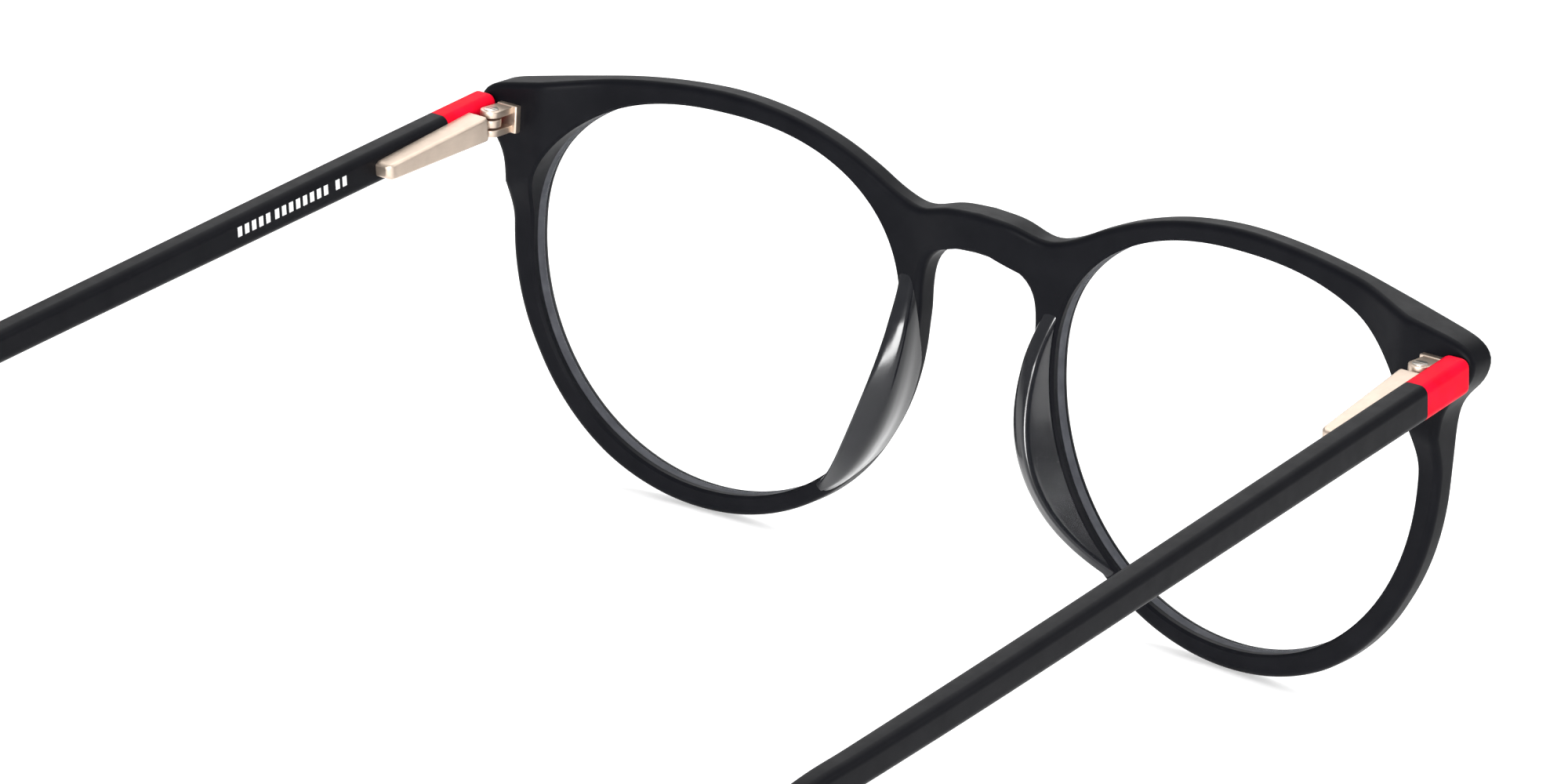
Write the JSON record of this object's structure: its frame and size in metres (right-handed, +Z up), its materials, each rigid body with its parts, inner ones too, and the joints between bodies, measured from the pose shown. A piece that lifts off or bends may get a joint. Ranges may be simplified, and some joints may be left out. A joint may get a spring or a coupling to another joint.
{
  "type": "eyeglasses",
  "caption": "Round full-rim acetate eyeglasses with keyhole bridge, clear lenses, cemented nose pads, folding temples with red hinge blocks and metal spring hinges.",
  "frame": {"origin": "centre of the bottom of the bounding box, on the surface that the open eyeglasses stand on", "axes": "+X towards the wearer's left, +Y from the front back along the temples, +Z up from the surface"},
  "size_m": [0.1386, 0.142, 0.0496],
  "materials": {
    "black_acetate": "matt, finely tumbled",
    "pad_acetate": "polished smooth",
    "red_acetate": "satin, slightly translucent",
    "lens_glass": "clear, polished",
    "nickel": "warm satin nickel plating",
    "steel": "plain drawn and turned steel"
  },
  "bodies": {
    "front": {"front_frame": "black_acetate", "nose_pad_left": "pad_acetate", "nose_pad_right": "pad_acetate", "lens_left": "lens_glass", "lens_right": "lens_glass", "front_hinge_left": "nickel", "front_hinge_right": "nickel", "hinge_screw_left": "steel", "hinge_screw_right": "steel"},
    "tongue_left": {"hinge_tongue_left": "nickel", "stem_nut_left": "steel"},
    "temple_left": {"temple_arm_left": "black_acetate", "temple_block_left": "red_acetate", "core_wire_left": "steel", "spring_housing_left": "nickel", "stop_bush_left": "steel", "hinge_spring_left": "steel"},
    "tongue_right": {"hinge_tongue_right": "nickel", "stem_nut_right": "steel"},
    "temple_right": {"temple_arm_right": "black_acetate", "temple_block_right": "red_acetate", "core_wire_right": "steel", "spring_housing_right": "nickel", "stop_bush_right": "steel", "hinge_spring_right": "steel"}
  },
  "joints": [
    {"name": "temple_fold_left", "type": "hinge", "parent": "front", "child": "tongue_left", "pos_m": [0.0629, -0.05702, 0.04105], "axis": [0, 0.0771, 0.997], "range_deg": [-3, 90]},
    {"name": "spring_travel_left", "type": "slide", "parent": "tongue_left", "child": "temple_left", "axis": [0.0225, 0.9792, -0.2015], "range_m": [0, 0.0012], "stiffness_N_per_m": 1500, "springref_m": -0.001, "deforming": ["hinge_spring_left"]},
    {"name": "temple_fold_right", "type": "hinge", "parent": "front", "child": "tongue_right", "pos_m": [-0.0629, -0.05702, 0.04105], "axis": [0, -0.0771, -0.997], "range_deg": [-3, 84]},
    {"name": "spring_travel_right", "type": "slide", "parent": "tongue_right", "child": "temple_right", "axis": [-0.0225, 0.9792, -0.2015], "range_m": [0, 0.0012], "stiffness_N_per_m": 1500, "springref_m": -0.001, "deforming": ["hinge_spring_right"]}
  ]
}
